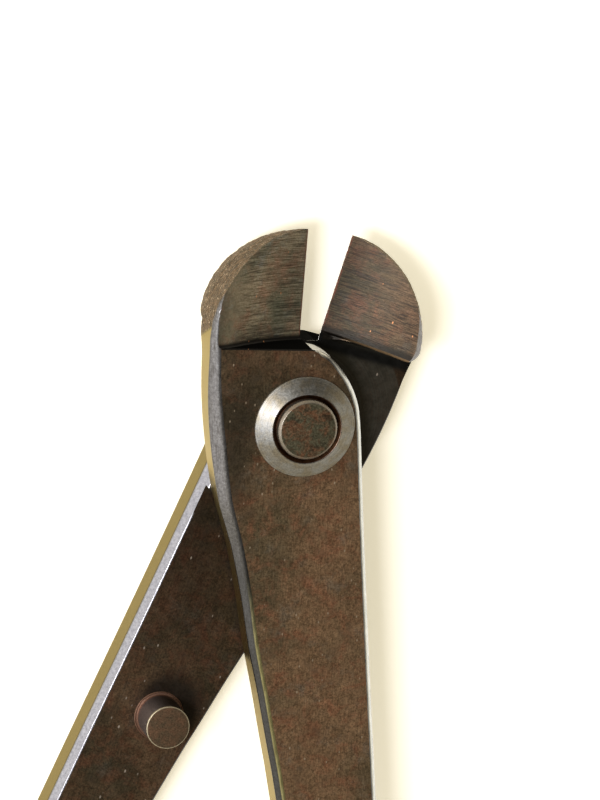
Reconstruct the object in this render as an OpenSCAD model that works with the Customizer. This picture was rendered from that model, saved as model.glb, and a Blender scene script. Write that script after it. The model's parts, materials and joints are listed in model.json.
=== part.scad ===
// Bonsai wire cutters: two identical forged arms, half lapped and riveted,
// one of them turned over about the long axis, with a stop pin on the back arm.
// The pivot axis is Z, the jaws point along +Y and the front face looks up.
// The origin is on the pivot axis, level with the end face of the back rivet head.

/* [Jaws] */
// Radius of the rounded head, seen from the front
head_r = 14; // [13:0.1:15]
// Height of the head's centre above the pivot
head_y = 12; // [11.5:0.1:13]
// Radius of the head at the face where the other arm's level ends
head_r_far = 12.7; // [12:0.1:13]
// Height of the ground step where the bevel starts, above the pivot
step_y = 10.7; // [10:0.1:11]
// Width of the bevel on each side of the cutting edge
bevel_w = 11.8; // [9:0.1:12.5]
// Radius of the hollow-ground bevel
bevel_r = 30; // [24:1:80]
// Half the thickness left on the cutting edge
edge_land = 0.12; // [0.05:0.01:0.3]

/* [Arms] */
// Thickness of one arm at the pivot
arm_t = 6; // [5:0.1:7]
// Thickness of a handle at its end
handle_t = 5; // [4:0.1:5.5]
// Length of a handle below the pivot
handle_len = 178; // [165:1:195]
// Radius of the rounded handle end
handle_end_r = 4.4; // [3.5:0.1:4.8]
// Depth of the relief that keeps the handles from rubbing
relief_depth = 0.4; // [0.2:0.1:0.8]
// Clearance between the two lapped faces
lap_gap = 0.1; // [0.05:0.01:0.2]

/* [Pivot] */
// Radius of the rivet's shank
rivet_r = 3.6; // [3:0.1:3.8]
// Radius of each rivet head
rivet_head_r = 4.15; // [4:0.05:4.2]
// Height of each rivet head's face above the arm
rivet_head_h = 2.1; // [1.8:0.1:2.6]
// Chamfer round each rivet head
rivet_chamfer = 0.45; // [0.2:0.05:0.6]
// Radial running clearance of the shank
pivot_clear = 0.05; // [0.02:0.01:0.1]
// Outer radius of the bevelled washers
washer_r = 7; // [6.5:0.1:7.5]
// Thickness of a washer at its inner lip
washer_t = 1.5; // [1.3:0.1:1.6]
// Thickness of a washer at its outer rim
washer_rim_t = 0.3; // [0.2:0.1:0.5]
// Radius of the washer's inner lip, round the rivet head
washer_lip_r = 4.8; // [4.6:0.05:5.2]

/* [Stop pin] */
// Radius of the stop pin
pin_r = 3; // [2.5:0.1:3.2]
// Height of the stop pin above the lap plane
pin_h = 4.9; // [4:0.1:5.5]
// Distance of the stop pin below the pivot
pin_y = 45.5; // [42:0.5:50]
// Radius of the tenon that holds the stop pin
tenon_r = 2; // [1.5:0.1:2.2]
// Depth of the tenon below the handle's face
tenon_depth = 4; // [3:0.1:4.5]

/* [Pose] */
// Angle between the cutting edges as stored
open_angle = 14; // [2:0.5:20]

/* [Hidden] */
$fn = 96;

// Clearance along the pivot axis under the back washer
axial_clear = 0.05;
// Height of the washer's seat for the rivet head
seat_h = 0.9;
// Gap left between the closed stop pin and the other arm
stop_gap = 0.06;
// Overlap used where two solids of one piece are joined
eps = 0.5;
// Anything that has to reach past the whole tool
far = 60;

lap_z = rivet_head_h + axial_clear + arm_t;
// Radius of the round boss about the pivot that stands proud of the relief
boss_r = 15.2;
// Where the handles start and end being set over to the same level
set_start = 72;
set_end = 138;
// Height of the far half's lower shoulder, clear of the other arm's step
shoulder_y = head_y;

// The side of an arm below its jaw, from the head to the handle's end.
// Each point is [x, y] with y as a length below the pivot for a 178 mm handle.
jaw_side = [
    [-13.95, -step_y], [-13.7, -6], [-13.1, -0.3], [-12.15, 5.3], [-10.9, 10.8],
    [-9.6, 14.6], [-8.45, 18], [-6.75, 24.4], [-5.2, 31.3], [-3.3, 38.3], [-1.5, 45.4],
    [0.3, 52.5], [5.4, 75], [10.4, 100], [13.9, 126], [15.4, 150], [15.2, 173.6]
];
// The other side, from the rounded corner of the lap plate to the handle's end
corner_side = [
    [0.3, -step_y], [1.7, -10.35], [3.5, -9.2], [5.7, -6.6], [7.2, -3.7], [7.9, -0.8],
    [8.5, 4], [9.3, 11], [10.9, 24], [12.7, 38], [14.7, 53], [17.9, 78], [21.2, 104],
    [23.6, 130], [24.4, 152], [24, 173.6]
];
len_k = handle_len / 178;

function below(p) = p[1] > 0 ? [p[0], -p[1] * len_k] : [p[0], -p[1]];
// Catmull-Rom curve through a list of points
function knot(pts, i) = pts[max(0, min(len(pts) - 1, i))];
function curve_at(pts, i, t) =
    let (a = knot(pts, i - 1), b = knot(pts, i), c = knot(pts, i + 1), d = knot(pts, i + 2))
    0.5 * (2 * b + (c - a) * t + (2 * a - 5 * b + 4 * c - d) * t * t
        + (3 * b - a - 3 * c + d) * t * t * t);
function curve(pts, steps) = [
    for (i = [0 : len(pts) - 2]) for (k = [0 : steps - 1]) curve_at(pts, i, k / steps),
    pts[len(pts) - 1]
];
// Half circle that closes the handle, from the corner side round to the jaw side
function end_arc(a, b) = [
    for (k = [1 : 11]) let (q = 180 * k / 12, m = (a + b) / 2, r = (a[0] - b[0]) / 2)
        [m[0] + r * cos(q), m[1] - handle_end_r * sin(q)]
];
function reversed(pts) = [for (i = [len(pts) - 1 : -1 : 0]) pts[i]];

side_a = [for (p = corner_side) below(p)];
side_b = [for (p = jaw_side) below(p)];
outline = concat(
    curve(side_a, 5),
    end_arc(side_a[len(side_a) - 1], side_b[len(side_b) - 1]),
    reversed(curve(side_b, 5))
);

// The stop pin just meets the other arm's edge when the jaws are shut.
edge_a = below(jaw_side[9]);
edge_b = below(jaw_side[11]);
edge_slope = (edge_b[0] - edge_a[0]) / (edge_a[1] - edge_b[1]);
edge_x = edge_a[0] + edge_slope * (edge_a[1] + pin_y);
pin_x = edge_x - (pin_r + stop_gap) * sqrt(1 + edge_slope * edge_slope);

// The wheel that grinds the bevel touches these two points, [x, z]
wheel_a = [-edge_land, edge_land];
wheel_b = [-bevel_w, arm_t];
wheel_chord = norm(wheel_b - wheel_a);
wheel_dir = (wheel_b - wheel_a) / wheel_chord;
wheel_off = sqrt(bevel_r * bevel_r - wheel_chord * wheel_chord / 4);
wheel_c = (wheel_a + wheel_b) / 2 + wheel_off * [wheel_dir[1], -wheel_dir[0]];

// Side view of an arm, [y, z]: relieved below the lap face, set over at the handle's end
module side_profile() {
    handle_z = handle_t / 2;
    back_z = lap_gap / 2 + relief_depth;
    set_pts = [
        for (k = [0 : 12]) let (t = k / 12, s = t * t * (3 - 2 * t))
            [-(set_start + (set_end - set_start) * t) * len_k, s]
    ];
    low = [for (p = set_pts) [p[0], back_z + (-handle_z - back_z) * p[1]]];
    high = [for (p = set_pts) [p[0], arm_t + (handle_z - arm_t) * p[1]]];
    polygon(concat(
        [[far, back_z], [far, arm_t]],
        high,
        [[-handle_len - far, handle_z], [-handle_len - far, -handle_z]],
        reversed(low)
    ));
}

// Round boss about the pivot, which carries the lap face
module boss() {
    translate([0, 0, lap_gap / 2])
        linear_extrude(height = relief_depth + eps)
            intersection() {
                polygon(outline);
                circle(r = boss_r);
            }
}

// Lap plate and handle, cut from the outline and the side view
module blank() {
    intersection() {
        translate([0, 0, -far / 2])
            linear_extrude(height = far)
                polygon(outline);
        rotate([90, 0, 90])
            translate([0, 0, -far])
                linear_extrude(height = 2 * far)
                    side_profile();
    }
    boss();
}

// One bevel of the jaw, as the grinding wheel that cuts it
module wheel() {
    translate([wheel_c[0], step_y, wheel_c[1]])
        rotate([-90, 0, 0])
            cylinder(h = far, r = bevel_r, $fn = 180);
}

// Jaw at full thickness, with a bevel on both faces that meet at the lap plane
module jaw() {
    difference() {
        union() {
            intersection() {
                union() {
                    translate([0, head_y, 0])
                        cylinder(h = arm_t, r = head_r);
                    translate([-head_r, step_y - eps, 0])
                        cube([head_r, head_y - step_y + eps, arm_t]);
                }
                translate([-far, step_y - eps, 0])
                    cube([far, far, arm_t]);
            }
            intersection() {
                translate([0, head_y, -arm_t])
                    cylinder(h = arm_t, r1 = head_r_far, r2 = head_r);
                translate([-far, shoulder_y, -arm_t])
                    cube([far, far, arm_t]);
            }
        }
        wheel();
        mirror([0, 0, 1])
            wheel();
    }
}

// One forged arm: the jaw is on the left, the handle on the right
module arm() {
    difference() {
        union() {
            blank();
            jaw();
        }
        translate([0, 0, -eps])
            cylinder(h = arm_t + 2 * eps, r = rivet_r + pivot_clear);
    }
}

module place(turn) {
    translate([0, 0, lap_z])
        rotate([0, 0, turn])
            children();
}

module front_arm() {
    color([0.24, 0.19, 0.16])
        place(open_angle / 2)
            arm();
}

module back_arm() {
    color([0.2, 0.16, 0.14])
        place(-open_angle / 2)
            difference() {
                rotate([0, 180, 0])
                    arm();
                translate([pin_x, -pin_y, -lap_gap / 2 - relief_depth - tenon_depth])
                    cylinder(h = tenon_depth + eps, r = tenon_r);
            }
}

// Straight shank with a chamfered head at each end
module pivot_rivet() {
    top = arm_t + rivet_head_h;
    bottom = -top - axial_clear;
    face_r = rivet_head_r - rivet_chamfer;
    color([0.28, 0.19, 0.14])
        place(0)
            rotate_extrude()
                polygon([
                    [0, bottom],
                    [face_r, bottom],
                    [rivet_head_r, bottom + rivet_chamfer],
                    [rivet_head_r, -arm_t - axial_clear - seat_h],
                    [rivet_r, -arm_t - axial_clear - seat_h],
                    [rivet_r, arm_t + seat_h],
                    [rivet_head_r, arm_t + seat_h],
                    [rivet_head_r, top - rivet_chamfer],
                    [face_r, top],
                    [0, top]
                ]);
}

// Bevelled washer, countersunk round the rivet head
module washer() {
    bore_r = rivet_r + pivot_clear;
    seat_r = rivet_head_r + 2 * pivot_clear;
    rotate_extrude()
        polygon([
            [bore_r, 0],
            [washer_r, 0],
            [washer_r, washer_rim_t],
            [washer_lip_r, washer_t],
            [seat_r, seat_h],
            [bore_r, seat_h]
        ]);
}

module front_washer() {
    color([0.55, 0.52, 0.48])
        place(0)
            translate([0, 0, arm_t])
                washer();
}

module back_washer() {
    color([0.5, 0.47, 0.43])
        place(0)
            translate([0, 0, -arm_t - axial_clear])
                mirror([0, 0, 1])
                    washer();
}

// Stop pin with a tenon in the back arm
module stop_pin() {
    foot_z = -lap_gap / 2 - relief_depth;
    color([0.26, 0.19, 0.15])
        place(-open_angle / 2)
            translate([pin_x, -pin_y, 0]) {
                translate([0, 0, foot_z])
                    cylinder(h = pin_h - foot_z, r = pin_r);
                translate([0, 0, foot_z - tenon_depth])
                    cylinder(h = tenon_depth + eps, r = tenon_r);
            }
}

front_arm();
back_arm();
pivot_rivet();
front_washer();
back_washer();
stop_pin();
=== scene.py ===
"""Looks of the bonsai wire cutters: forged arms, riveted joint, stop pin, studio."""

import json
import math

import bmesh
import bpy
import numpy as np
from mathutils import Matrix, Vector, noise


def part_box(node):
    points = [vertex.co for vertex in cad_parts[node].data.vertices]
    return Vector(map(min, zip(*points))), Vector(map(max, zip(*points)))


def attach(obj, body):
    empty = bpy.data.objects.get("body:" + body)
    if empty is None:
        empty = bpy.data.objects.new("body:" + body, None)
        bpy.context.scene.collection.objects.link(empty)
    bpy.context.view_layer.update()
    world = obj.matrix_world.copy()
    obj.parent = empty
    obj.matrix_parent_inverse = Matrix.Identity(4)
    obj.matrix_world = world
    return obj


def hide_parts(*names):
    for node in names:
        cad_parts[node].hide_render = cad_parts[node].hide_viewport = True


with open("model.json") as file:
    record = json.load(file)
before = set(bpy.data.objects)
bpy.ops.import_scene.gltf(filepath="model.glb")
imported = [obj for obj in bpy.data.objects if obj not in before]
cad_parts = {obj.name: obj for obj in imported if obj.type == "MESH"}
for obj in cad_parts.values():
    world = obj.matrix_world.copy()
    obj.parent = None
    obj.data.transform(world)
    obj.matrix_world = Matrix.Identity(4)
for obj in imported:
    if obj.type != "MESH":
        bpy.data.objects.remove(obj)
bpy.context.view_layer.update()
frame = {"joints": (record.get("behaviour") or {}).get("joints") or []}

MM = 0.001

# One arm in its own frame, in mm: the pivot at the origin, the jaw towards +y with its edge at
# x = 0, the handle towards -y, the outer face at z = ARM_T, the lapped face at z = LAP and the
# other arm's level below z = 0.
ARM_T = 6.0  # outer face
LAP = 0.05  # lapped face
RELIEF = 0.45  # hollowed inner face between the boss and the handle
RELIEF_Y = (-4.9, -16.8)  # upper and lower end of the relief cutter
BOSS_R = 15.2  # lapped boss round the pivot
HEAD_R = 14.0  # arc of the jaw's back
HEAD_Y = 12.0  # centre of that arc, and the far half's shoulder
HEAD_TAPER = 1.3  # how much smaller the far half's arc is at its outer face
BAND_Y, BAND_RISE = 11.0, 2.8  # lower end of the forged band, and how far it rises to the outer face
STEP_Y = 10.7  # ground step where the bevel begins
BEVEL_W = 11.8  # width of the bevel, from the edge to the outer face
BEVEL_R = 30.0  # grinding wheel
EDGE_LAND = 0.12  # blunt land of the cutting edge
LEAST_CUT = 0.09  # lowest level that a wheel reaches
WORN_R = 0.42  # easing of the shoulder's edge
FILLET_R = 1.15  # hollow corner below the shoulder
BORE_R = 3.65  # rivet's bore
HANDLE_END_R = 4.4  # depth of the handle's rounded end
HANDLE_Z = 2.5  # half of the handle's thickness beyond the set
SET_START, SET_END = -72.0, -138.0  # stretch where the handle is set over to the lap plane

OPEN_ANGLE = 14.0  # between the arms at rest, in degrees

# Turned pieces, in mm
WASHER_R = 7.0
WASHER_T = 1.5
RIVET_HEAD_R = 4.15
RIVET_HEAD_Z = (0.9, 2.1)  # from the outer face to the head's underside and to its top
PIN_R = 3.0
PIN_TOP = 4.9
PIN_TENON_R = 2.0
PIN_TENON = 4.0

# Height of the lap plane above the floor, and the middle of the stop pin, both from the frame
LAP_Z = frame["joints"][0]["pos_m"][2] / MM
PIN_AT = (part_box("stop_pin")[0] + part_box("stop_pin")[1]) / 2 / MM

# Outline of the plate and handle, from the ground step down: jaw side, then the other side
JAW_SIDE = [
    (-13.95, 10.7), (-13.7, 6), (-13.1, 0.3), (-12.15, -5.3), (-10.9, -10.8),
    (-9.6, -14.6), (-8.45, -18), (-6.75, -24.4), (-5.2, -31.3), (-3.3, -38.3),
    (-1.5, -45.4), (0.3, -52.5), (5.4, -75), (10.4, -100), (13.9, -126),
    (15.4, -150), (15.2, -173.6),
]
CORNER_SIDE = [
    (0.3, 10.7), (1.7, 10.35), (3.5, 9.2), (5.7, 6.6), (7.2, 3.7), (7.9, 0.8),
    (8.5, -4), (9.3, -11), (10.9, -24), (12.7, -38), (14.7, -53), (17.9, -78),
    (21.2, -104), (23.6, -130), (24.4, -152), (24, -173.6),
]

# Width of each chamfer along the arm, as (y, width): outer face, then lapped face.
# An edge with no chamfer keeps the least width, so that every row has the same points.
LEAST = 0.006
CHAMFER_JAW = [
    (-172, 0.5), (-166, 0.6), (-60, 0.7), (-35, 0.8), (-24, 0.95), (-17, 1.05), (-10, 1.25),
    (-3, 1.45), (2, 1.3), (6, 1.1), (10, 0.9), (13, 0.7), (16, 0.45), (18.6, 0.05),
    (19.2, LEAST), (26, LEAST),
]
CHAMFER_CORNER = [
    (-172, 0.5), (-20, 0.5), (0, 0.48), (8, 0.46), (10.3, 0.32), (10.69, 0.05),
    (10.7, LEAST), (26, LEAST),
]
CHAMFER_LAP_JAW = [
    (-172, 0.5), (-166, 0.3), (-60, 0.15), (-12, 0.12), (5, 0.1), (9, LEAST), (26, LEAST),
]
CHAMFER_LAP_CORNER = [
    (-172, 0.5), (-166, 0.8), (-60, 0.9), (-16.6, 0.9), (-16.2, 1.3), (-8, 1.3), (-2, 0.3),
    (8, 0.1), (10.6, LEAST), (26, LEAST),
]

# Points of the strip's loft: rows in the head and in the plate, levels of a wall, parts of a face
HEAD_ROWS, PLATE_ROWS = 84, 50
WALL_N, FLAT_N = 15, 8

# Points round the far half: arc, lower corner, shoulder, cutting edge
ARC_N, CORNER_N, SHOULDER_N, EDGE_N = 96, 12, 16, 18
ROUND_N = ARC_N + CORNER_N - 2

# Points up a rounded chamfer
CHAMFER_N = 8

# Material slots of an arm's mesh
FACE, GROUND, WALL, CHAMFER, INNER = range(5)


def smooth(x, lo, hi):
    """Eased step from 0 at lo to 1 at hi."""
    t = min(1.0, max(0.0, (x - lo) / (hi - lo)))
    return t * t * (3 - 2 * t)


def table(rows, x):
    """Value at x, read straight between the rows."""
    return float(np.interp(x, [r[0] for r in rows], [r[1] for r in rows]))


def catmull(points, steps=24):
    """Dense smooth curve through the points."""
    p = np.array(points, float)
    p = np.vstack([p[:1], p, p[-1:]])
    out = []
    for i in range(1, len(p) - 2):
        a, b, c, d = p[i - 1 : i + 3]
        for k in range(steps):
            t = k / steps
            out.append(
                0.5 * (2 * b + (c - a) * t + (2 * a - 5 * b + 4 * c - d) * t * t
                       + (3 * b - a - 3 * c + d) * t**3)
            )
    out.append(p[-1])
    return np.array(out)


def along(curve, count):
    """Points at equal steps of length along a curve."""
    length = np.concatenate([[0], np.cumsum(np.linalg.norm(np.diff(curve, axis=0), axis=1))])
    s = np.linspace(0, length[-1], count)
    return np.column_stack([np.interp(s, length, curve[:, 0]), np.interp(s, length, curve[:, 1])])


def at_heights(curve, ys):
    """Points of a curve that runs downwards, at the given heights."""
    order = np.argsort(curve[:, 1])
    return np.column_stack([np.interp(ys, curve[order, 1], curve[order, 0]), ys])


def arc(cx, cy, r, a0, a1, count):
    """Points on a circle between two angles in degrees."""
    a = np.radians(np.linspace(a0, a1, count))
    return np.column_stack([cx + r * np.cos(a), cy + r * np.sin(a)])


def outward(points, side):
    """Unit normals of a chain that runs down the arm; side is -1 on the left and 1 on the right."""
    t = np.gradient(points, axis=0)
    n = np.column_stack([-t[:, 1], t[:, 0]]) * side
    return n / np.linalg.norm(n, axis=1)[:, None]


def hammered(p):
    """Depth of the forge marks on the head's outer side at a point."""
    v = Vector(p)
    dents = noise.noise(v * 0.9) * 0.5 + noise.noise(v * 2.1 + Vector((7, 3, 1))) * 0.36
    fine = noise.noise(v * 4.6 + Vector((1, 9, 4))) * 0.24
    return (0.05 - 0.17 * (dents + fine)) * smooth(-p[0], 0.2, 3.0)


def band_edge(z):
    """Height at which the forged band ends on the outer side."""
    return BAND_Y + BAND_RISE * smooth(z, 0.0, ARM_T)


def side_inset(x, y, z):
    """How far the jaw side lies inside its outline: forge marks, the step below them, draft."""
    level = max(z, 0.0)
    band = smooth(y, band_edge(level) - 0.25, band_edge(level) + 0.35)
    marks = band * hammered((x, y, z))
    step = (1 - band) * 0.14 * smooth(y, 3.0, 10.0)
    draft = 0.24 * (1 - level / ARM_T) * smooth(-y, -12.0, -8.0) * (0.3 + 0.7 * smooth(y, -60, -10))
    return marks + step + draft


def corner_profile(w, r_wall, r_face):
    """Rounded 45 degree chamfer as (inset, drop) from the wall up to the face."""
    size = w * math.sqrt(2)
    r, q = min(r_wall, 0.42 * size), min(r_face, 0.5 * size)
    k = math.sqrt(0.5)
    out = []
    for t in (0, 1 / 3, 2 / 3, 1):
        out.append((r * k * t * t, -w - r * (1 - t) ** 2 + r * k * t * t))
    for t in (0, 1 / 3, 2 / 3, 1):
        out.append((w - q * k * (1 - t) ** 2 + q * t * t, -q * k * (1 - t) ** 2))
    return out


def stations():
    """Matching points down the left and right side of an arm's outline."""
    jaw, corner = catmull(JAW_SIDE), catmull(CORNER_SIDE)
    left, right = [], []
    plate_end = 0.8
    # head, down to the ground step
    step = 180 + math.degrees(math.asin((HEAD_Y - STEP_Y) / HEAD_R))
    left.append(along(arc(0, HEAD_Y, HEAD_R, 91.2, step, 240), HEAD_ROWS)[:-1])
    right.append(along(np.array([(0, 25.99), (0, 10.712)]), HEAD_ROWS)[:-1])
    # lap plate with its rounded corner
    left.append(along(jaw[jaw[:, 1] >= plate_end], PLATE_ROWS)[:-1])
    right.append(along(corner[corner[:, 1] >= plate_end], PLATE_ROWS)[:-1])
    # handle, with two rows where the relief ends
    ys = np.concatenate([
        np.linspace(0.6, -15.4, 18), [-16.2, -16.6], np.linspace(-17.5, -42, 26),
        np.linspace(-43.7, -172, 76),
    ])
    left.append(at_heights(jaw, ys))
    right.append(at_heights(corner, ys))
    # rounded end
    (x_right, y_end), (x_left, _) = CORNER_SIDE[-1], JAW_SIDE[-1]
    middle, half = (x_right + x_left) / 2, (x_right - x_left) / 2
    q = np.radians(180 * np.linspace(0, 0.485, 16))
    left.append(np.column_stack([middle - half * np.cos(q), y_end - HANDLE_END_R * np.sin(q)]))
    right.append(np.column_stack([middle + half * np.cos(q), y_end - HANDLE_END_R * np.sin(q)]))
    return [np.vstack(x) for x in (left, right)]


def edge_profile(low, top, floor):
    """One side of a row as (inset, height), from the lapped face up to the outer face."""
    out = [(s, floor - d) for s, d in reversed(low)]
    z0, z1 = out[-1][1], ARM_T + top[0][1]
    out += [(0.0, z) for z in np.linspace(z0, z1, WALL_N + 2)[1:-1]]
    return out + [(s, ARM_T + d) for s, d in top]


def across(a, b):
    """Points that split the straight line from a to b, without its ends."""
    a, b = np.array(a), np.array(b)
    return [tuple(a * (1 - k / FLAT_N) + b * k / FLAT_N) for k in range(1, FLAT_N)]


def strip_row(l, r, nl, nr):
    """One closed row of the strip through a left and a right point, and the count on a side."""
    y = (l[1] + r[1]) / 2
    # beyond the relief the strip's own floor lies at the relief's height, just clear of its cutter
    floor = LAP if y > -16.4 else RELIEF + 0.01
    soft = smooth(y, -172, -160)
    trim = 0.04 * smooth(-y, 100, 165)
    top_l = corner_profile(table(CHAMFER_JAW, l[1]), 0.16, 0.2 + 0.25 * soft)
    top_r = corner_profile(table(CHAMFER_CORNER, r[1]), 0.14, 0.2)
    low_l = corner_profile(table(CHAMFER_LAP_JAW, l[1]), 0.08, 0.2 - 0.12 * soft)
    low_r = corner_profile(table(CHAMFER_LAP_CORNER, r[1]), 0.12, 0.2)
    up, down = [], []
    for s, z in edge_profile(low_l, top_l, floor):
        d = side_inset(l[0], l[1], z) if l[1] > SET_START else trim
        up.append((*(l - nl * (s + d)), z))
    for s, z in edge_profile(low_r, top_r, floor):
        down.append((*(r - nr * (s + trim)), z))
    down = down[::-1]
    return up + across(up[-1], down[0]) + down + across(down[-1], up[0]), len(up)


def arm_strip():
    """Head, lap plate and handle at the arm's own level, as one closed loft."""
    left, right = stations()
    nl, nr = outward(left, -1), outward(right, 1)
    nr[: HEAD_ROWS - 1] = (1, 0)
    verts, faces, mats = [], [], []
    for row in zip(left, right, nl, nr):
        loop, n_side = strip_row(*row)
        verts += loop
    m = len(loop)
    side = [CHAMFER] * (CHAMFER_N - 1) + [WALL] * (WALL_N + 1) + [CHAMFER] * (CHAMFER_N - 1)
    kinds = side + [FACE] * FLAT_N + side + [INNER] * FLAT_N
    count = len(left)
    for i in range(count - 1):
        for j in range(m):
            k = (j + 1) % m
            faces.append((i * m + j, i * m + k, (i + 1) * m + k, (i + 1) * m + j))
            mats.append(kinds[j])
    for base, flip in ((0, False), ((count - 1) * m, True)):
        # the point straight across from a side's point j
        mate = [base + 2 * n_side + FLAT_N - 2 - j for j in range(n_side)]
        caps = [[base + j, base + j + 1, mate[j + 1], mate[j]] for j in range(n_side - 1)]
        last = base + n_side - 1
        caps[-1] = [last - 1] + [last + k for k in range(FLAT_N + 1)] + [mate[-2]]
        caps[0] = [mate[0] + k for k in range(FLAT_N)] + [base, base + 1, mate[1]]
        for cap in caps:
            faces.append(cap if flip else cap[::-1])
            mats.append(WALL)
    return verts, faces, mats


def far_outline(r):
    """Section of the jaw's far half and its normals: arc, rounded corner, shoulder, edge."""
    # radius and centre of the rounded corner
    c = 1.9
    xc = -math.sqrt((r - c) ** 2 - c * c)
    turn = math.degrees(math.atan2(c, xc))
    start = 90 + math.degrees(0.02 / r)
    edge_x = -0.01
    pts = np.vstack([
        arc(0, HEAD_Y, r, start, turn, ARC_N)[:-1],
        arc(xc, HEAD_Y + c, c, turn, 270, CORNER_N)[:-1],
        along(np.array([(xc, HEAD_Y), (edge_x, HEAD_Y)]), SHOULDER_N)[:-1],
        along(np.array([(edge_x, HEAD_Y), (edge_x, HEAD_Y + r)]), EDGE_N)[:-1],
    ])
    normals = np.vstack([
        arc(0, 0, 1, start, turn, ARC_N)[:-1],
        arc(0, 0, 1, turn, 270, CORNER_N)[:-1],
        np.tile([(0.0, -1.0)], (SHOULDER_N - 1, 1)),
        np.tile([(0.0, 0.0)], (EDGE_N - 1, 1)),
    ])
    normals[ROUND_N : ROUND_N + 2] *= (0.0, 1.0)
    return pts, normals


def rim_width(j):
    """Width of the far half's rim chamfer at point j of its outline."""
    if j < ARC_N - 1:
        return LEAST + 0.8 * smooth(90 + 90 * j / (ARC_N - 1), 112, 142)
    if j < ROUND_N:
        return 0.806 - 0.55 * smooth((j - ARC_N + 1) / (CORNER_N - 1), 0.2, 1.0)
    if j < ROUND_N + SHOULDER_N - 1:
        return 0.25 - 0.05 * (j - ROUND_N) / (SHOULDER_N - 1)
    return LEAST


def far_block():
    """The jaw's half at the other arm's level, tapered and chamfered round its rim."""
    n = len(far_outline(HEAD_R)[0])
    # points over which the forge marks fade out before the shoulder
    fade = 14
    levels = [("rim", k) for k in range(CHAMFER_N)][::-1]
    levels += [("wall", t) for t in np.linspace(0, 1, 20)[1:]] + [("top", 0.02), ("top", 0.6)]
    loops = []
    for kind, val in levels:
        loop = []
        for j in range(n):
            profile = corner_profile(rim_width(j), 0.16, 0.16)
            if kind == "rim":
                s, d = profile[val]
                z = -ARM_T - d
            elif kind == "wall":
                s, z = 0.0, (-ARM_T - profile[0][1]) * (1 - val) - 0.02 * val
            else:
                s, z = 0.02, val
            r = HEAD_R - HEAD_TAPER * (min(0.0, z) / -ARM_T) ** 1.4
            pts, nrm = far_outline(r)
            p = pts[j] - nrm[j] * s
            if j < ROUND_N:
                mark = hammered((pts[j][0], pts[j][1], z))
                p = p - nrm[j] * mark * min(1.0, (ROUND_N - j) / fade)
            loop.append((min(p[0], -0.01), p[1], z))
        loops.append(loop)
    verts = [v for loop in loops for v in loop]
    faces, mats = [], []
    for i in range(len(loops) - 1):
        outer, end = (CHAMFER, ROUND_N + SHOULDER_N - 1) if i < CHAMFER_N - 1 else (WALL, ROUND_N)
        for j in range(n):
            k = (j + 1) % n
            faces.append((i * n + j, i * n + k, (i + 1) * n + k, (i + 1) * n + j))
            mats.append(outer if j < end else INNER)
    faces += [list(range(n))[::-1], [(len(loops) - 1) * n + j for j in range(n)]]
    return verts, faces, mats + [GROUND, INNER]


def bevel_height(x, blend):
    """Height of the hollow bevel above the lap plane, eased into the outer face."""
    a = np.array([-EDGE_LAND, EDGE_LAND])
    b = np.array([-BEVEL_W, ARM_T])
    chord = np.linalg.norm(b - a)
    d = (b - a) / chord
    off = math.sqrt(BEVEL_R**2 - chord**2 / 4)
    c = (a + b) / 2 + off * np.array([d[1], -d[0]])
    z = c[1] - math.sqrt(BEVEL_R**2 - (x - c[0]) ** 2)
    h = min(1.0, max(0.0, 0.5 + 0.5 * (ARM_T - z) / blend))
    z = ARM_T * (1 - h) + z * h - blend * h * (1 - h)
    return max(LEAST_CUT, z)


def bevel_cutter(sign, blend, fillet, worn=False):
    """The grinding wheel's path, rounded at the step or easing off the shoulder's edge."""
    xs = np.concatenate([np.linspace(-14.6, -9, 40), np.linspace(-8.7, -EDGE_LAND, 44), [0.0, 1.0]])
    base = np.array([bevel_height(x, blend) for x in xs])
    top = ARM_T + 0.004
    if worn:
        rows = [(10.0, base - WORN_R)]
        for q in (0, 0.1, 0.2, 0.31, WORN_R):
            rows.append((HEAD_Y + q, base - WORN_R * (1 - q / WORN_R) ** 2))
    else:
        lip = ARM_T - 0.16
        rows = [(STEP_Y - 0.17, np.full(len(xs), top)), (STEP_Y, np.where(base < lip, lip, top))]
        for q in np.radians(np.linspace(0, 90, 9)):
            y = STEP_Y + 0.0005 + fillet * (1 - math.cos(q))
            rows.append((y, np.minimum(base + fillet * (1 - math.sin(q)), top)))
    rows.append((30.0, base))
    loops = []
    for y, z in rows:
        flat = (z if worn else base) > ARM_T - 0.004
        z = np.maximum(LEAST_CUT, np.where(flat, top, np.minimum(z, top)))
        loops.append([(x, y, h) for x, h in zip(xs, z)] + [(1.0, y, 9.0), (-14.6, y, 9.0)])
    n = len(loops[0])
    verts = [(x, y, sign * z) for loop in loops for x, y, z in loop]
    faces = [
        (i * n + j, i * n + (j + 1) % n, (i + 1) * n + (j + 1) % n, (i + 1) * n + j)
        for i in range(len(loops) - 1)
        for j in range(n)
    ]
    faces += [list(range(n))[::-1], [(len(loops) - 1) * n + j for j in range(n)]]
    return verts, faces, [GROUND] * len(faces)


def prism(outline, z0, z1, kind):
    """Straight prism of an (x, y) outline between two heights."""
    n = len(outline)
    verts = [(x, y, z) for z in (z0, z1) for x, y in outline]
    faces = [(j, (j + 1) % n, n + (j + 1) % n, n + j) for j in range(n)]
    faces += [list(range(n))[::-1], list(range(n, 2 * n))]
    return verts, faces, [kind] * len(faces)


def shoulder_fillet():
    """Hollow corner between the far half's shoulder and the lapped face."""
    proud, sunk, behind = 0.008, 0.06, 0.4
    section = [(HEAD_Y + behind, LAP + proud), (HEAD_Y + behind, LAP - FILLET_R)]
    for q in np.radians(np.linspace(0, 90, 9)):
        y = HEAD_Y - FILLET_R * (1 - math.cos(q))
        section.append((y, LAP - FILLET_R * (1 - math.sin(q)) - sunk))
    section.append((HEAD_Y - FILLET_R, LAP + proud))
    verts, faces, kinds = prism(section, -11.9, -0.4, INNER)
    return [(x, y, z) for y, z, x in verts], faces, kinds


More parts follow.
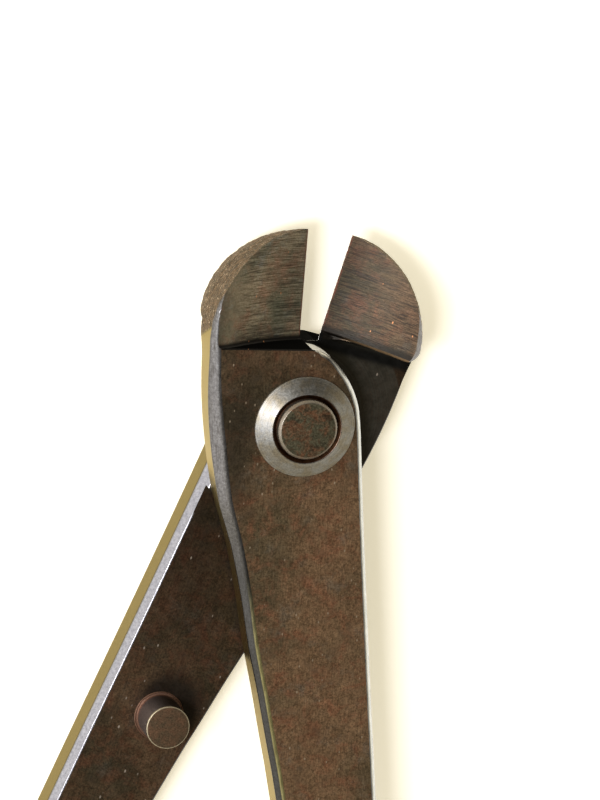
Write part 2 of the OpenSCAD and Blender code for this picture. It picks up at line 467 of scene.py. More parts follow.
def relief_cutter():
    """Hollow of the inner face between the pivot's boss and the handle."""
    y, y_end = RELIEF_Y
    dip = math.degrees(math.asin(y / BOSS_R))
    curve = arc(0, 0, BOSS_R, 180 - dip, 360 + dip, 72)
    outline = [(-18, y), *map(tuple, curve), (18, y), (18, y_end), (-18, y_end)]
    return prism(outline, -1.0, RELIEF, INNER)


def bore_cutter():
    """The rivet's hole."""
    count = 96
    hole = arc(0, 0, BORE_R, 0, 360 - 360 / count, count)
    return prism([tuple(p) for p in hole], -1, 8, INNER)


def make_mesh(name, data, materials):
    """Object from (vertices, faces, material slot of each face), with its seams merged."""
    verts, faces, kinds = data
    mesh = bpy.data.meshes.new(name)
    mesh.from_pydata([tuple(map(float, v)) for v in verts], [], [list(f) for f in faces])
    for m in materials:
        mesh.materials.append(m)
    mesh.polygons.foreach_set("material_index", kinds)
    bm = bmesh.new()
    bm.from_mesh(mesh)
    bmesh.ops.remove_doubles(bm, verts=bm.verts, dist=2e-4)
    bmesh.ops.recalc_face_normals(bm, faces=bm.faces)
    bm.to_mesh(mesh)
    bm.free()
    ob = bpy.data.objects.new(name, mesh)
    bpy.context.scene.collection.objects.link(ob)
    return ob


def boolean(ob, other, operation):
    """Joins or cuts a mesh with another one, which is used up."""
    mod = ob.modifiers.new("cut", "BOOLEAN")
    mod.object, mod.operation, mod.solver = other, operation, "EXACT"
    dg = bpy.context.evaluated_depsgraph_get()
    made = bpy.data.meshes.new_from_object(ob.evaluated_get(dg))
    ob.modifiers.clear()
    old, ob.data = ob.data, made
    bpy.data.meshes.remove(old)
    bpy.data.objects.remove(other)


def finish_mesh(ob, sharp=33.0, reshape=None):
    """Cleans a mesh in mm, marks its sharp edges and turns it into metres."""
    bm = bmesh.new()
    bm.from_mesh(ob.data)
    bmesh.ops.remove_doubles(bm, verts=bm.verts, dist=3e-4)
    bmesh.ops.dissolve_degenerate(bm, edges=bm.edges, dist=1e-4)
    if reshape:
        for v in bm.verts:
            v.co = reshape(v.co)
    for e in bm.edges:
        e.smooth = len(e.link_faces) == 2 and math.degrees(e.calc_face_angle(0)) < sharp
    for f in bm.faces:
        f.smooth = True
    bmesh.ops.scale(bm, vec=(MM, MM, MM), verts=bm.verts)
    bm.to_mesh(ob.data)
    bm.free()
    mod = ob.modifiers.new("normals", "WEIGHTED_NORMAL")
    mod.keep_sharp = True
    mod.weight = 80
    return ob


def set_over(co):
    """Moves a handle point towards the middle level beyond the start of the set."""
    s = smooth(-co.y, -SET_START, -SET_END)
    if s <= 0:
        return co
    low = RELIEF + (-HANDLE_Z - RELIEF) * s
    high = ARM_T + (HANDLE_Z - ARM_T) * s
    return Vector((co.x, co.y, low + (co.z - RELIEF) / (ARM_T - RELIEF) * (high - low)))


def arm(name, materials):
    """One forged arm in its own frame: joined halves, then the ground and drilled cuts."""
    body = make_mesh(name, arm_strip(), materials)
    steps = [
        ("far", far_block(), "UNION"),
        ("fillet", shoulder_fillet(), "UNION"),
        ("front_wheel", bevel_cutter(1, 1.5, 0.3), "DIFFERENCE"),
        ("back_wheel", bevel_cutter(-1, 0.25, 0.0, worn=True), "DIFFERENCE"),
        ("relief", relief_cutter(), "DIFFERENCE"),
        ("bore", bore_cutter(), "DIFFERENCE"),
    ]
    for tool, data, operation in steps:
        boolean(body, make_mesh(tool, data, materials), operation)
    return finish_mesh(body, reshape=set_over)


def rounded(points):
    """Profile of (radius, height, rounding) corners as a smooth chain of (radius, height)."""
    segments = 4
    out = []
    for i, (x, y, r) in enumerate(points):
        p = np.array([x, y])
        if r <= 0 or i in (0, len(points) - 1):
            out.append((x, y))
            continue
        a = np.array(points[i - 1][:2]) - p
        b = np.array(points[i + 1][:2]) - p
        a, b = p + a / np.linalg.norm(a) * r, p + b / np.linalg.norm(b) * r
        for k in range(segments + 1):
            t = k / segments
            out.append(tuple(a * (1 - t) ** 2 + p * 2 * t * (1 - t) + b * t * t))
    return out


def lathe(name, points, material, count=144, closed=False):
    """Turned piece about Z from a profile, open at the axis or closed as a ring."""
    chain = rounded(points)
    if closed:
        chain = chain[:-1]
    verts, faces = [], []
    n = len(chain)
    for k in range(count):
        a = 2 * math.pi * k / count
        for r, z in chain:
            verts.append((r * math.cos(a), r * math.sin(a), z))
    for k in range(count):
        q = (k + 1) % count
        for j in range(n if closed else n - 1):
            i = (j + 1) % n
            if chain[j][0] == 0:
                faces.append([k * n + j, q * n + i, k * n + i])
            elif chain[i][0] == 0:
                faces.append([k * n + j, q * n + j, k * n + i])
            else:
                faces.append([k * n + j, q * n + j, q * n + i, k * n + i])
    return finish_mesh(make_mesh(name, (verts, faces, [0] * len(faces)), [material]), sharp=40)


# ---------------------------------------------------------------- materials


class Graph:
    """A material's node tree, with coordinates in mm in the piece's own frame.

    Masks use x, y and z; patterns use p, which is moved aside on the flipped arm, so that
    the two arms are marked differently.
    """

    def __init__(self, name, pose=None):
        self.mat = bpy.data.materials.new(name)
        self.mat.use_nodes = True
        self.tree = self.mat.node_tree
        self.tree.nodes.clear()
        self.out = self.tree.nodes.new("ShaderNodeOutputMaterial")
        texture = self.tree.nodes.new("ShaderNodeTexCoord")
        self.normal, coord = texture.outputs["Normal"], texture.outputs["Object"]
        seed = 0.0
        if pose:
            turn, flipped = pose
            n = self.node("ShaderNodeMapping", {0: coord}, vector_type="TEXTURE")
            n.inputs["Location"].default_value = (0, 0, LAP_Z * MM)
            n.inputs["Rotation"].default_value = (0, math.pi * flipped, math.radians(turn))
            coord, seed = n.outputs[0], 37.0 * flipped
        own = self.scale(coord, (1 / MM, 1 / MM, 1 / MM))
        self.x, self.y, self.z = self.split(own)
        self.p = self.node("ShaderNodeVectorMath", {0: own, 1: (seed, seed, 0)}).outputs[0]

    def put(self, socket, value):
        """Feeds an input from another socket or with a constant."""
        if isinstance(value, bpy.types.NodeSocket):
            self.tree.links.new(value, socket)
        else:
            socket.default_value = value

    def node(self, kind, inputs, **props):
        n = self.tree.nodes.new(kind)
        for k, v in props.items():
            setattr(n, k, v)
        for k, v in inputs.items():
            self.put(n.inputs[k], v)
        return n

    def scale(self, v, by):
        n = self.node("ShaderNodeVectorMath", {0: v, 1: by}, operation="MULTIPLY")
        return n.outputs[0]

    def split(self, v):
        n = self.node("ShaderNodeSeparateXYZ", {0: v})
        return n.outputs[0], n.outputs[1], n.outputs[2]

    def join(self, x, y, z):
        return self.node("ShaderNodeCombineXYZ", {0: x, 1: y, 2: z}).outputs[0]

    def math(self, op, a, b=0.0):
        return self.node("ShaderNodeMath", {0: a, 1: b}, operation=op).outputs[0]

    def times(self, a, b):
        return self.math("MULTIPLY", a, b)

    def rest(self, a):
        """What is left of 1."""
        return self.math("SUBTRACT", 1.0, a)

    def distance(self, a, b):
        """Length of the flat vector (a, b)."""
        squares = self.math("ADD", self.math("POWER", a, 2.0), self.math("POWER", b, 2.0))
        return self.math("SQRT", squares)

    def level(self):
        """How level the surface is: 1 where it faces up or down, 0 on a wall."""
        return self.math("ABSOLUTE", self.split(self.normal)[2])

    def noise(self, scale, detail=3.0, rough=0.55, v=None, distort=0.0):
        n = self.node(
            "ShaderNodeTexNoise",
            {"Vector": v or self.p, "Scale": scale, "Detail": detail, "Roughness": rough,
             "Distortion": distort},
        )
        return n.outputs["Fac"]

    def cells(self, scale, v):
        return self.node("ShaderNodeTexVoronoi", {"Vector": v, "Scale": scale}).outputs["Distance"]

    def span(self, v, a, b, lo=0.0, hi=1.0):
        """Eased ramp from lo where v is a to hi where v is b."""
        n = self.node(
            "ShaderNodeMapRange",
            {"Value": v, "From Min": a, "From Max": b, "To Min": lo, "To Max": hi},
            interpolation_type="SMOOTHSTEP",
        )
        return n.outputs[0]

    def mix(self, share, a, b, blend="MIX"):
        """Colour a with a share of colour b."""
        n = self.node("ShaderNodeMix", {}, data_type="RGBA", blend_type=blend)
        self.put(n.inputs[0], share)
        for i, color in ((6, a), (7, b)):
            self.put(n.inputs[i], (*color, 1) if isinstance(color, tuple) else color)
        return n.outputs[2]

    def tint(self, color, value):
        """Multiplies a colour by a number or another colour."""
        return self.mix(1.0, color, value, blend="MULTIPLY")

    def bump(self, height, strength, distance, normal=None):
        n = self.node(
            "ShaderNodeBump", {"Height": height, "Strength": strength, "Distance": distance * MM}
        )
        if normal:
            self.put(n.inputs["Normal"], normal)
        return n.outputs[0]

    def shade(self, color, rough, normal=None, metallic=1.0, spec=0.5, edge=None, glow=None):
        """Finishes the material; edge tints grazing reflections and glow is a colour and strength."""
        s = self.node("ShaderNodeBsdfPrincipled", {"Base Color": color, "Roughness": rough})
        self.put(s.inputs["Metallic"], metallic)
        self.put(s.inputs["Specular IOR Level"], spec)
        if edge:
            s.inputs["Specular Tint"].default_value = (*edge, 1)
        if glow:
            s.inputs["Emission Color"].default_value = (*glow[:3], 1)
            s.inputs["Emission Strength"].default_value = glow[3]
        if normal:
            self.put(s.inputs["Normal"], normal)
        self.tree.links.new(s.outputs[0], self.out.inputs["Surface"])
        return self.mat


DARK = (0.026, 0.020, 0.014)
OLIVE = (0.078, 0.059, 0.034)
BROWN = (0.155, 0.096, 0.055)
RED = (0.165, 0.072, 0.040)
SLATE = (0.120, 0.112, 0.095)
STEP_SHADE = (0.006, 0.005, 0.005)
WALL_SHADE = (0.004, 0.004, 0.004)


def oxide(g, warm=0.5, grain=1.0):
    """Forge oxide: olive to brown clouds, red-brown and slate stains and a fine speckle."""
    big = g.noise(0.07, 3, 0.6)
    mid = g.noise(0.32, 5, 0.72, distort=0.5)
    color = g.mix(g.span(big, 0.36, 0.62), OLIVE, BROWN)
    color = g.mix(g.span(mid, 0.5 - 0.1 * warm, 0.72, 0.0, 0.85), color, RED)
    color = g.mix(g.span(g.noise(0.45, 5, 0.75), 0.5, 0.78, 0.0, 0.6), color, DARK)
    color = g.mix(g.span(g.noise(0.25, 5, 0.7), 0.52, 0.75, 0.0, 0.5), color, SLATE)
    speckle = g.noise(3.6, 4, 0.85)
    return g.tint(color, g.span(speckle, 0.3, 0.7, 1 - 0.5 * grain, 1 + 0.5 * grain))


def flecks(g, color, scale, size, amount, light):
    """Small bright flecks, stretched a little so that some read as short scratches."""
    v = g.scale(g.p, (1.0, 0.55, 1.0))
    spots = g.span(g.cells(scale, v), size, size * 0.4)
    return g.mix(g.times(spots, amount), color, light)


def face_material(pose):
    """Outer faces: brushed oxide, greyer and darker beside the jaw side's edge."""
    g = Graph("oxide_face", pose)
    brush = g.noise(1.0, 4, 0.7, v=g.scale(g.p, (6.0, 0.5, 1.0)))
    color = g.tint(oxide(g), g.span(brush, 0.3, 0.7, 0.78, 1.25))
    color = g.tint(color, g.span(g.y, 9, -14, 0.72, 1.25))
    side = g.times(g.span(g.x, -5, -9, 0.0, 0.6), g.span(g.y, 8, 0, 0.2, 1.0))
    color = g.mix(g.times(side, g.span(g.y, -24, -6)), color, DARK)
    color = flecks(g, color, 0.8, 0.11, 0.7, (0.42, 0.34, 0.26))
    rough = g.span(g.noise(0.9, 4, 0.6), 0.3, 0.7, 0.36, 0.52)
    n = g.bump(brush, 0.25, 0.02)
    n = g.bump(g.noise(2.2, 4, 0.6), 0.25, 0.03, n)
    return g.shade(color, rough, n, metallic=0.75)


def ground_material(pose):
    """Ground bevels: fine lines across the edge, fading out towards the outer face."""
    g = Graph("ground_bevel", pose)
    color = oxide(g, warm=0.7, grain=0.7)
    far = g.span(g.z, 0.02, -0.02)
    near = g.rest(far)
    color = g.mix(near, color, g.tint(color, (1.20, 1.62, 2.10)))
    color = g.mix(far, color, g.tint(color, (0.40, 0.42, 0.46)))

    # grinding lines, a little wavy
    reach = g.math("MAXIMUM", g.span(g.x, 0.2 - BEVEL_W, -8.0), far)
    wave = g.times(g.math("SUBTRACT", g.noise(0.12, 2), 0.5), 1.2)
    v = g.join(g.times(g.x, 0.035), g.math("ADD", g.y, g.times(wave, 0.25)), g.times(g.z, 0.1))
    lines = g.noise(6.5, 3, 0.8, v=v)
    contrast = g.math("SUBTRACT", g.span(lines, 0.38, 0.62, 0.45, 1.60), 1.0)
    color = g.tint(color, g.math("ADD", g.times(contrast, reach), 1.0))
    deep = g.span(g.noise(2.6, 3, 0.85, v=v), 0.54, 0.62)
    strong = g.times(reach, g.math("ADD", g.times(far, 0.45), 0.35))
    color = g.mix(g.times(deep, strong), color, (0.012, 0.009, 0.008))

    # rust along the cutting edge; painted shade in the near step; dark band above the far shoulder
    rust = g.span(g.noise(0.8, 3), 0.3, 0.6, 0.1, 0.7)
    color = g.mix(g.times(g.span(g.x, -0.26, -0.08), rust), color, (0.16, 0.05, 0.035))
    # painted shade in the near bevel's step
    color = g.mix(g.times(g.span(g.y, 11.6, 10.95), near), color, STEP_SHADE)
    # darker band on the far bevel just above the shoulder
    darkened = g.times(g.span(g.y, 13.7, 12.7), far)
    color = g.mix(g.times(darkened, 0.9), color, (0.008, 0.007, 0.006))
    # the shoulder's worn edge, its colour lightened as a painted gold highlight
    worn = g.times(g.span(g.y, HEAD_Y + WORN_R, HEAD_Y + 0.2), far)
    worn = g.times(worn, g.span(g.x, -2.5, -5.0))
    color = g.mix(g.times(worn, 0.8), color, (0.30, 0.20, 0.12))
    color = flecks(g, color, 0.62, 0.075, 0.85, (0.50, 0.22, 0.10))

    # painted shade: the steps' own walls are made black and unreflective
    cliff = g.times(g.span(g.level(), 0.5, 0.3), g.span(g.y, 12.6, 12.1))
    color = g.mix(cliff, color, WALL_SHADE)
    metallic, spec = g.span(cliff, 0, 1, 0.75, 0.0), g.span(cliff, 0, 1, 0.5, 0.0)
    n = g.bump(g.times(lines, reach), 0.8, 0.035)
    n = g.bump(g.noise(1.8, 3, 0.6), 0.2, 0.03, n)
    return g.shade(color, g.span(lines, 0.3, 0.7, 0.34, 0.5), n, metallic=metallic, spec=spec)


def wall_material(pose):
    """Outer sides: forged and hammered round the head, smooth along the handle."""
    g = Graph("side_wall", pose)
    edge = g.math("ADD", g.times(g.math("MAXIMUM", g.z, 0.0), BAND_RISE / ARM_T), BAND_Y)
    band = g.span(g.math("SUBTRACT", g.y, edge), -0.3, 0.4)
    scale_marks = g.noise(1.3, 5, 0.78, distort=0.8)
    fibres = g.noise(1.0, 5, 0.8, v=g.scale(g.p, (0.8, 0.9, 3.0)))
    forged = g.mix(g.span(fibres, 0.40, 0.62), (0.026, 0.015, 0.009), (0.150, 0.090, 0.050))
    forged = g.mix(g.span(scale_marks, 0.50, 0.62), forged, (0.022, 0.014, 0.010))
    # painted highlights: light streaks in the forge marks
    bright = g.noise(1.6, 5, 0.85, v=g.scale(g.p, (1.0, 1.0, 2.2)))
    forged = g.mix(g.span(bright, 0.57, 0.66), forged, (0.72, 0.58, 0.42))

    # smooth part: straw-coloured; painted shade darkens the handle's other side and a lower line
    speckle = g.span(g.noise(3.6, 4, 0.85), 0.3, 0.7, 0.35, 0.8)
    straw = g.mix(speckle, (0.16, 0.135, 0.070), (0.24, 0.205, 0.115))
    straw = g.tint(straw, g.span(g.x, 2, 6, 1.0, 0.62))
    line = g.times(g.span(g.x, 2, 6), g.span(g.z, 1.95, 1.6))
    straw = g.mix(g.times(line, 0.9), straw, (0.02, 0.018, 0.014))
    color = g.mix(band, straw, forged)

    # throat: painted shade in black, with one painted glint on the unflipped arm
    throat = g.times(g.span(g.y, 8.6, 9.6), g.span(g.x, -1.2, -0.2))
    patch = 0.0 if pose[1] else g.span(g.z, 2.0, 2.6)
    color = g.mix(throat, color, g.mix(patch, (0.01, 0.01, 0.01), (0.85, 0.86, 0.88)))
    rough = g.math("ADD", g.times(g.math("MAXIMUM", band, throat), 0.22), 0.32)
    metallic = g.times(g.rest(g.times(band, 0.65)), g.rest(throat))
    spec = g.span(throat, 0, 1, 0.5, 0.0)
    n = g.bump(scale_marks, 0.25, 0.05)
    n = g.bump(g.times(g.math("ADD", fibres, scale_marks), band), 1.0, 0.22, n)
    return g.shade(color, rough, n, metallic=metallic, spec=spec, edge=(1.0, 0.87, 0.60))


def chamfer_material(pose):
    """Chamfers: smoother steel with a lilac-grey oxide; painted reflection, shade and a throat glint.
    """
    g = Graph("chamfer", pose)
    fine = g.span(g.noise(2.6, 4, 0.75), 0.3, 0.7)
    run = g.noise(1.0, 4, 0.75, v=g.scale(g.p, (4.0, 0.35, 4.0)))
    color = g.mix(fine, (0.075, 0.072, 0.076), (0.15, 0.147, 0.155))
    color = g.mix(g.span(run, 0.5, 0.7, 0.0, 0.65), color, (0.045, 0.040, 0.036))
    lilac = g.mix(fine, (0.15, 0.15, 0.175), (0.24, 0.24, 0.27))
    color = g.mix(g.span(g.z, 2.6, 2.2), color, lilac)
    outer = g.span(g.z, 2.6, 3.2)
    # painted reflection: the corner side's outer chamfers are made pale grey where they mirror the
    # floor
    lighter = g.times(g.span(g.x, 2.5, 5.5), outer)
    color = g.mix(lighter, color, g.tint((0.62, 0.65, 0.70), g.span(run, 0.3, 0.7, 0.7, 1.1)))
    jaw_side = g.math("SUBTRACT", outer, lighter)
    # painted shade: the jaw side's outer chamfers darken down the handle
    darkened = g.times(jaw_side, g.span(g.y, -8, -24, 0.0, 0.75))
    color = g.mix(darkened, color, (0.030, 0.030, 0.030))
    # painted highlight: a thin gold line along the crest of the jaw side's chamfer
    crest = g.times(g.span(g.level(), 0.86, 0.95), g.span(g.y, -20, -34, 0.0, 0.8))
    color = g.mix(g.times(crest, jaw_side), color, (0.46, 0.42, 0.20))
    # painted glint: pale chamfers at the throat
    throat = g.times(g.span(g.y, 9.3, 10.3), g.span(g.x, -1.0, -0.4))
    color = g.mix(throat, color, (0.75, 0.74, 0.72))
    return g.shade(color, g.span(run, 0.3, 0.7, 0.24, 0.38), g.bump(run, 0.2, 0.02), metallic=0.95)


def inner_material(pose):
    """Lapped and relieved inner faces: the boss's turned ring, painted shade under the jaw's step."""
    g = Graph("inner_face", pose)
    brush = g.noise(1.0, 4, 0.7, v=g.scale(g.p, (6.0, 0.4, 1.0)))
    color = g.tint(oxide(g, warm=0.9), g.span(brush, 0.3, 0.7, 0.8, 1.2))
    # painted shade: darker towards the pivot, where the other arm shades the face
    color = g.tint(color, g.span(g.y, -12, -48, 0.26, 0.66))
    r = g.distance(g.x, g.y)
    rings = g.noise(1.0, 3, 0.7, v=g.join(g.times(r, 3.0), 0.0, 0.0))
    lap = g.times(g.span(r, BOSS_R + 0.2, BOSS_R - 0.2), g.span(rings, 0.35, 0.7, 0.5, 0.9))
    color = g.mix(lap, color, (0.058, 0.056, 0.048))
    # painted shade under the jaw's step
    color = g.mix(g.span(g.y, 9.3, 10.3), color, (0.005, 0.005, 0.005))
    if pose[1]:
        # painted shadow of the stop pin, set a little off its seat, on the arm that holds it
        seat = stance(*pose).inverted() @ (Vector((PIN_AT.x, PIN_AT.y, LAP_Z)) * MM) / MM
        dx, dy = g.math("SUBTRACT", g.x, seat.x - 1.0), g.math("SUBTRACT", g.y, seat.y + 1.6)
        pin_shadow = g.span(g.distance(dx, dy), 6.5, 3.0, 0.0, 0.85)
        color = g.mix(pin_shadow, color, (0.008, 0.007, 0.006))
    color = flecks(g, color, 0.6, 0.10, 0.8, (0.42, 0.36, 0.32))
    rough = g.span(g.noise(0.9, 4, 0.6), 0.3, 0.7, 0.36, 0.52)
    return g.shade(color, rough, g.bump(brush, 0.25, 0.02), metallic=0.75)


def washer_material():
    """Turned washer: bright satin cone, red-brown countersink."""
    g = Graph("washer_steel")
    r = g.distance(g.x, g.y)
    turned = g.noise(5.0, 4, 0.8, v=g.join(r, g.times(g.z, 0.5), 0.0))
    cloud = g.noise(0.5, 4, 0.65)
    fine = g.noise(4.0, 3, 0.7)
    color = g.mix(g.span(cloud, 0.35, 0.7), (0.235, 0.240, 0.255), (0.19, 0.170, 0.140))
    color = g.tint(color, g.span(fine, 0.3, 0.7, 0.75, 1.25))
    color = g.tint(color, g.span(turned, 0.3, 0.7, 0.85, 1.15))
    patches = g.span(g.noise(1.4, 4, 0.7), 0.35, 0.65)
    rust = g.mix(patches, (0.06, 0.028, 0.016), (0.12, 0.060, 0.032))
    color = g.mix(g.span(r, 4.86, 4.72), color, rust)
    n = g.bump(turned, 0.3, 0.015)
    n = g.bump(fine, 0.05, 0.02, n)
    return g.shade(color, g.span(fine, 0.3, 0.7, 0.34, 0.44), n)


def rivet_material():
    """Rivet head: green-black oxide with red-brown blotches and a bright worn chamfer."""
    g = Graph("rivet_steel")
    blotch = g.noise(0.55, 5, 0.7, distort=0.5)
    fine = g.noise(4.5, 3, 0.75)
    color = g.mix(g.span(blotch, 0.42, 0.62), (0.120, 0.112, 0.076), (0.200, 0.105, 0.062))
    dark = g.span(g.noise(0.8, 4, 0.7), 0.52, 0.68, 0.0, 0.7)
    color = g.mix(dark, color, (0.035, 0.030, 0.022))
    color = g.tint(color, g.span(fine, 0.28, 0.72, 0.6, 1.45))
    lighter = g.span(g.noise(1.3, 4, 0.7), 0.3, 0.6, 0.35, 1.0)
    rim = g.times(g.span(g.distance(g.x, g.y), 3.70, 3.82), lighter)
    color = g.mix(rim, color, (0.20, 0.18, 0.16))
    n = g.bump(fine, 0.3, 0.03)
    n = g.bump(blotch, 0.25, 0.08, n)
    return g.shade(color, g.span(fine, 0.3, 0.7, 0.30, 0.46), n, metallic=0.85)


def pin_material():
    """Stop pin: sawn brown end, turned side with painted shading, pale rim, reddish foot."""
    g = Graph("pin_steel")
    cloud = g.noise(0.6, 4, 0.7)
    fine = g.noise(4.5, 3, 0.75)
    end = g.mix(g.span(cloud, 0.35, 0.65), (0.105, 0.076, 0.050), (0.165, 0.095, 0.060))
    # painted shading: the side lighter on the left, darker on the right
    side = g.mix(g.span(g.x, -2.6, 0.5), (0.115, 0.100, 0.105), (0.035, 0.024, 0.018))
    color = g.mix(g.span(g.z, 4.6, 4.85), side, end)
    color = g.tint(color, g.span(fine, 0.28, 0.72, 0.65, 1.4))
    color = g.mix(g.span(g.z, 0.1, -0.1), color, (0.20, 0.115, 0.085))
    rim = g.times(g.span(g.distance(g.x, g.y), 2.82, 2.95), g.span(g.z, 4.5, 4.75))
    color = g.mix(rim, color, (0.42, 0.37, 0.28))
    return g.shade(color, g.span(fine, 0.3, 0.7, 0.34, 0.48), g.bump(fine, 0.35, 0.03), metallic=0.8)


# ---------------------------------------------------------------- pieces


def stance(turn, flipped=False):
    """From an arm's own frame to the row frame."""
    m = Matrix.Translation((0, 0, LAP_Z * MM)) @ Matrix.Rotation(math.radians(turn), 4, "Z")
    return m @ Matrix.Rotation(math.pi, 4, "Y") if flipped else m


def place(ob, x=0.0, y=0.0):
    """Stands a turned piece at the lap plane."""
    ob.location = Vector((x, y, LAP_Z)) * MM
    return ob


def hand_over(ob, node, body):
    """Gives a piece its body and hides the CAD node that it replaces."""
    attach(ob, body)
    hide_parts(node)


def arm_materials(pose):
    """One material for each slot of an arm's mesh."""
    made = (face_material, ground_material, wall_material, chamfer_material, inner_material)
    return [make(pose) for make in made]


def washer(name, side, material):
    """Dished washer on one outer face; side is 1 for the front one and -1 for the back one."""
    z0 = ARM_T if side > 0 else ARM_T + 0.05
    ring = [
        (BORE_R, z0, 0), (WASHER_R, z0, 0.05), (WASHER_R, z0 + 0.3, 0.12),
        (4.8, z0 + WASHER_T, 0.13), (4.25, z0 + 0.9, 0.08), (BORE_R, z0 + 0.9, 0), (BORE_R, z0, 0),
    ]
    ring = [(x, side * z, r) for x, z, r in ring]
    return place(lathe("turned_" + name, ring, material, closed=True))


def rivet():
    """Rivet with a chamfered head over each washer's countersink."""
    under_z, face_z = (ARM_T + z for z in RIVET_HEAD_Z)
    sunk = 0.05
    profile = [
        (0, -face_z - sunk, 0), (3.7, -face_z - sunk, 0.1), (RIVET_HEAD_R, -face_z + 0.4, 0.12),
        (RIVET_HEAD_R, -under_z - sunk, 0), (3.6, -under_z - sunk, 0), (3.6, under_z, 0),
        (RIVET_HEAD_R, under_z, 0), (RIVET_HEAD_R, face_z - 0.36, 0.12), (3.82, face_z, 0.1),
        (0, face_z, 0),
    ]
    return place(lathe("peened_rivet", profile, rivet_material()))


def stop_pin():
    """Stop pin with its tenon in the back arm and a burr round its foot."""
    foot = -LAP - 0.4
    profile = [
        (0, foot - PIN_TENON, 0), (PIN_TENON_R, foot - PIN_TENON, 0.1), (PIN_TENON_R, foot, 0),
        (3.5, foot, 0.02), (3.42, foot + 0.14, 0.04), (3.3, foot + 0.03, 0.02),
        (3.05, foot + 0.05, 0.05), (PIN_R, PIN_TOP, 0.1), (0, PIN_TOP, 0),
    ]
    return place(lathe("turned_stop_pin", profile, pin_material(), count=112), *PIN_AT[:2])


POSES = [(OPEN_ANGLE / 2, False), (-OPEN_ANGLE / 2, True)]
front = arm("forged_arm_front", arm_materials(POSES[0]))
back = front.copy()
back.data = front.data.copy()
back.name = "forged_arm_back"
bpy.context.scene.collection.objects.link(back)
for i, m in enumerate(arm_materials(POSES[1])):
    back.data.materials[i] = m
for ob, pose, node in ((front, POSES[0], "front"), (back, POSES[1], "back")):
    ob.data.transform(stance(*pose))
    hand_over(ob, node + "_arm", node + "_half")

washer_steel = washer_material()
for side, name in ((1, "front_washer"), (-1, "back_washer")):
    hand_over(washer(name, side, washer_steel), name, "front_half")
hand_over(rivet(), "pivot_rivet", "front_half")
hand_over(stop_pin(), "stop_pin", "back_half")


# ---------------------------------------------------------------- studio


def floor_material():
    """Pale floor with a faint warm glow, which keeps the shadows cream."""
    g = Graph("pale_floor")
    color = g.mix(g.noise(0.02, 2), (0.86, 0.855, 0.84), (0.88, 0.875, 0.865))
    return g.shade(color, 0.9, metallic=0.0, spec=0.2, glow=(1.0, 0.91, 0.67, 0.50))


FLOOR, UNDER = 3.0, -2e-4
corners = [(x * FLOOR, y * FLOOR, UNDER) for x, y in ((-1, -1), (1, -1), (1, 1), (-1, 1))]
mesh = bpy.data.meshes.new("studio_floor")
mesh.from_pydata(corners, [], [(0, 1, 2, 3)])
mesh.materials.append(floor_material())
floor = bpy.data.objects.new("studio_floor", mesh)
bpy.context.scene.collection.objects.link(floor)


def area(name, toward, distance, size, power, color):
    """Soft light that shines at the joint from the given direction."""
    d = Vector(toward).normalized()
    data = bpy.data.lights.new(name, "AREA")
    data.shape, data.size, data.size_y = "RECTANGLE", size[0], size[1]
    data.energy, data.color = power, color
    ob = bpy.data.objects.new(name, data)
    ob.location = Vector((0, 0, LAP_Z * MM)) + d * distance
    ob.rotation_mode = "QUATERNION"
    ob.rotation_quaternion = d.to_track_quat("Z", "Y")
    bpy.context.scene.collection.objects.link(ob)


area("key", (-0.48, 0.02, 0.88), 1.3, (0.22, 0.30), 11, (1.0, 0.985, 0.97))
area("left_window", (-0.66, -0.30, 0.69), 1.1, (0.34, 0.5), 1.5, (0.90, 0.95, 1.0))
area("left_fill", (-0.95, -0.15, 0.30), 1.1, (1.4, 0.5), 4, (0.93, 0.95, 1.0))

world = bpy.data.worlds.new("studio")
bpy.context.scene.world = world
world.use_nodes = True
tree = world.node_tree
tree.nodes.clear()
coord = tree.nodes.new("ShaderNodeTexCoord")


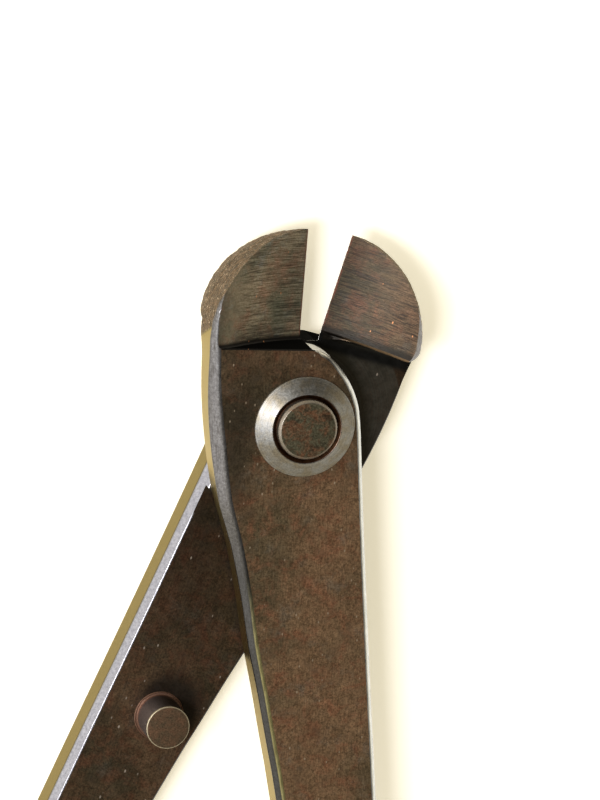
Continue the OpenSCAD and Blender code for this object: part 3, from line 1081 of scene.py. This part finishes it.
def dim(toward, near, far, level):
    """Share of the world's light that is left round a direction, between two angles."""
    dot = tree.nodes.new("ShaderNodeVectorMath")
    dot.operation = "DOT_PRODUCT"
    dot.inputs[1].default_value = Vector(toward).normalized()
    tree.links.new(coord.outputs["Generated"], dot.inputs[0])
    share = tree.nodes.new("ShaderNodeMapRange")
    share.interpolation_type = "SMOOTHSTEP"
    tree.links.new(dot.outputs["Value"], share.inputs[0])
    values = (math.cos(math.radians(far)), math.cos(math.radians(near)), 1.0, level)
    for i, v in enumerate(values):
        share.inputs[i + 1].default_value = v
    return share.outputs[0]


# Light from all round, dimmed in two cones that the dark faces mirror
cones = [((0.28, -0.24, 0.93), 14, 62, 0.10), ((0.26, 0.66, 0.70), 12, 46, 0.12)]
both = tree.nodes.new("ShaderNodeMath")
both.operation = "MULTIPLY"
for i, cone in enumerate(cones):
    tree.links.new(dim(*cone), both.inputs[i])
strength = tree.nodes.new("ShaderNodeMath")
strength.operation = "MULTIPLY"
strength.inputs[1].default_value = 1.25
tree.links.new(both.outputs[0], strength.inputs[0])
background = tree.nodes.new("ShaderNodeBackground")
background.inputs["Color"].default_value = (1.0, 0.90, 0.66, 1)
tree.links.new(strength.outputs[0], background.inputs["Strength"])
out = tree.nodes.new("ShaderNodeOutputWorld")
tree.links.new(background.outputs[0], out.inputs["Surface"])

# Camera: looks down on the tool, tilted towards its upper left; the aim is set off in mm
TILT, ROLL = math.radians(21.5), math.radians(9.6)
AIM_RIGHT, AIM_UP = -0.608, 3.581
CAMERA_DISTANCE = 0.8
lean = Vector((-math.sin(TILT) / math.sqrt(2), math.sin(TILT) / math.sqrt(2), math.cos(TILT)))
swing = Matrix.Rotation(ROLL, 3, "Z") @ Vector((0, 0, 1)).rotation_difference(lean).to_matrix()
right, up, toward = (swing.col[i].copy() for i in range(3))
aim = Vector((0, 0, (LAP_Z + ARM_T) * MM)) + right * (AIM_RIGHT * MM) + up * (AIM_UP * MM)
camera_data = bpy.data.cameras.new("camera")
camera_data.sensor_width = 36
camera_data.lens = 266.4
camera_data.clip_start, camera_data.clip_end = 0.05, 20
camera = bpy.data.objects.new("camera", camera_data)
camera.matrix_world = Matrix.Translation(aim + toward * CAMERA_DISTANCE) @ swing.to_4x4()
bpy.context.scene.collection.objects.link(camera)
bpy.context.scene.camera = camera

bpy.context.scene.view_settings.view_transform = "Standard"
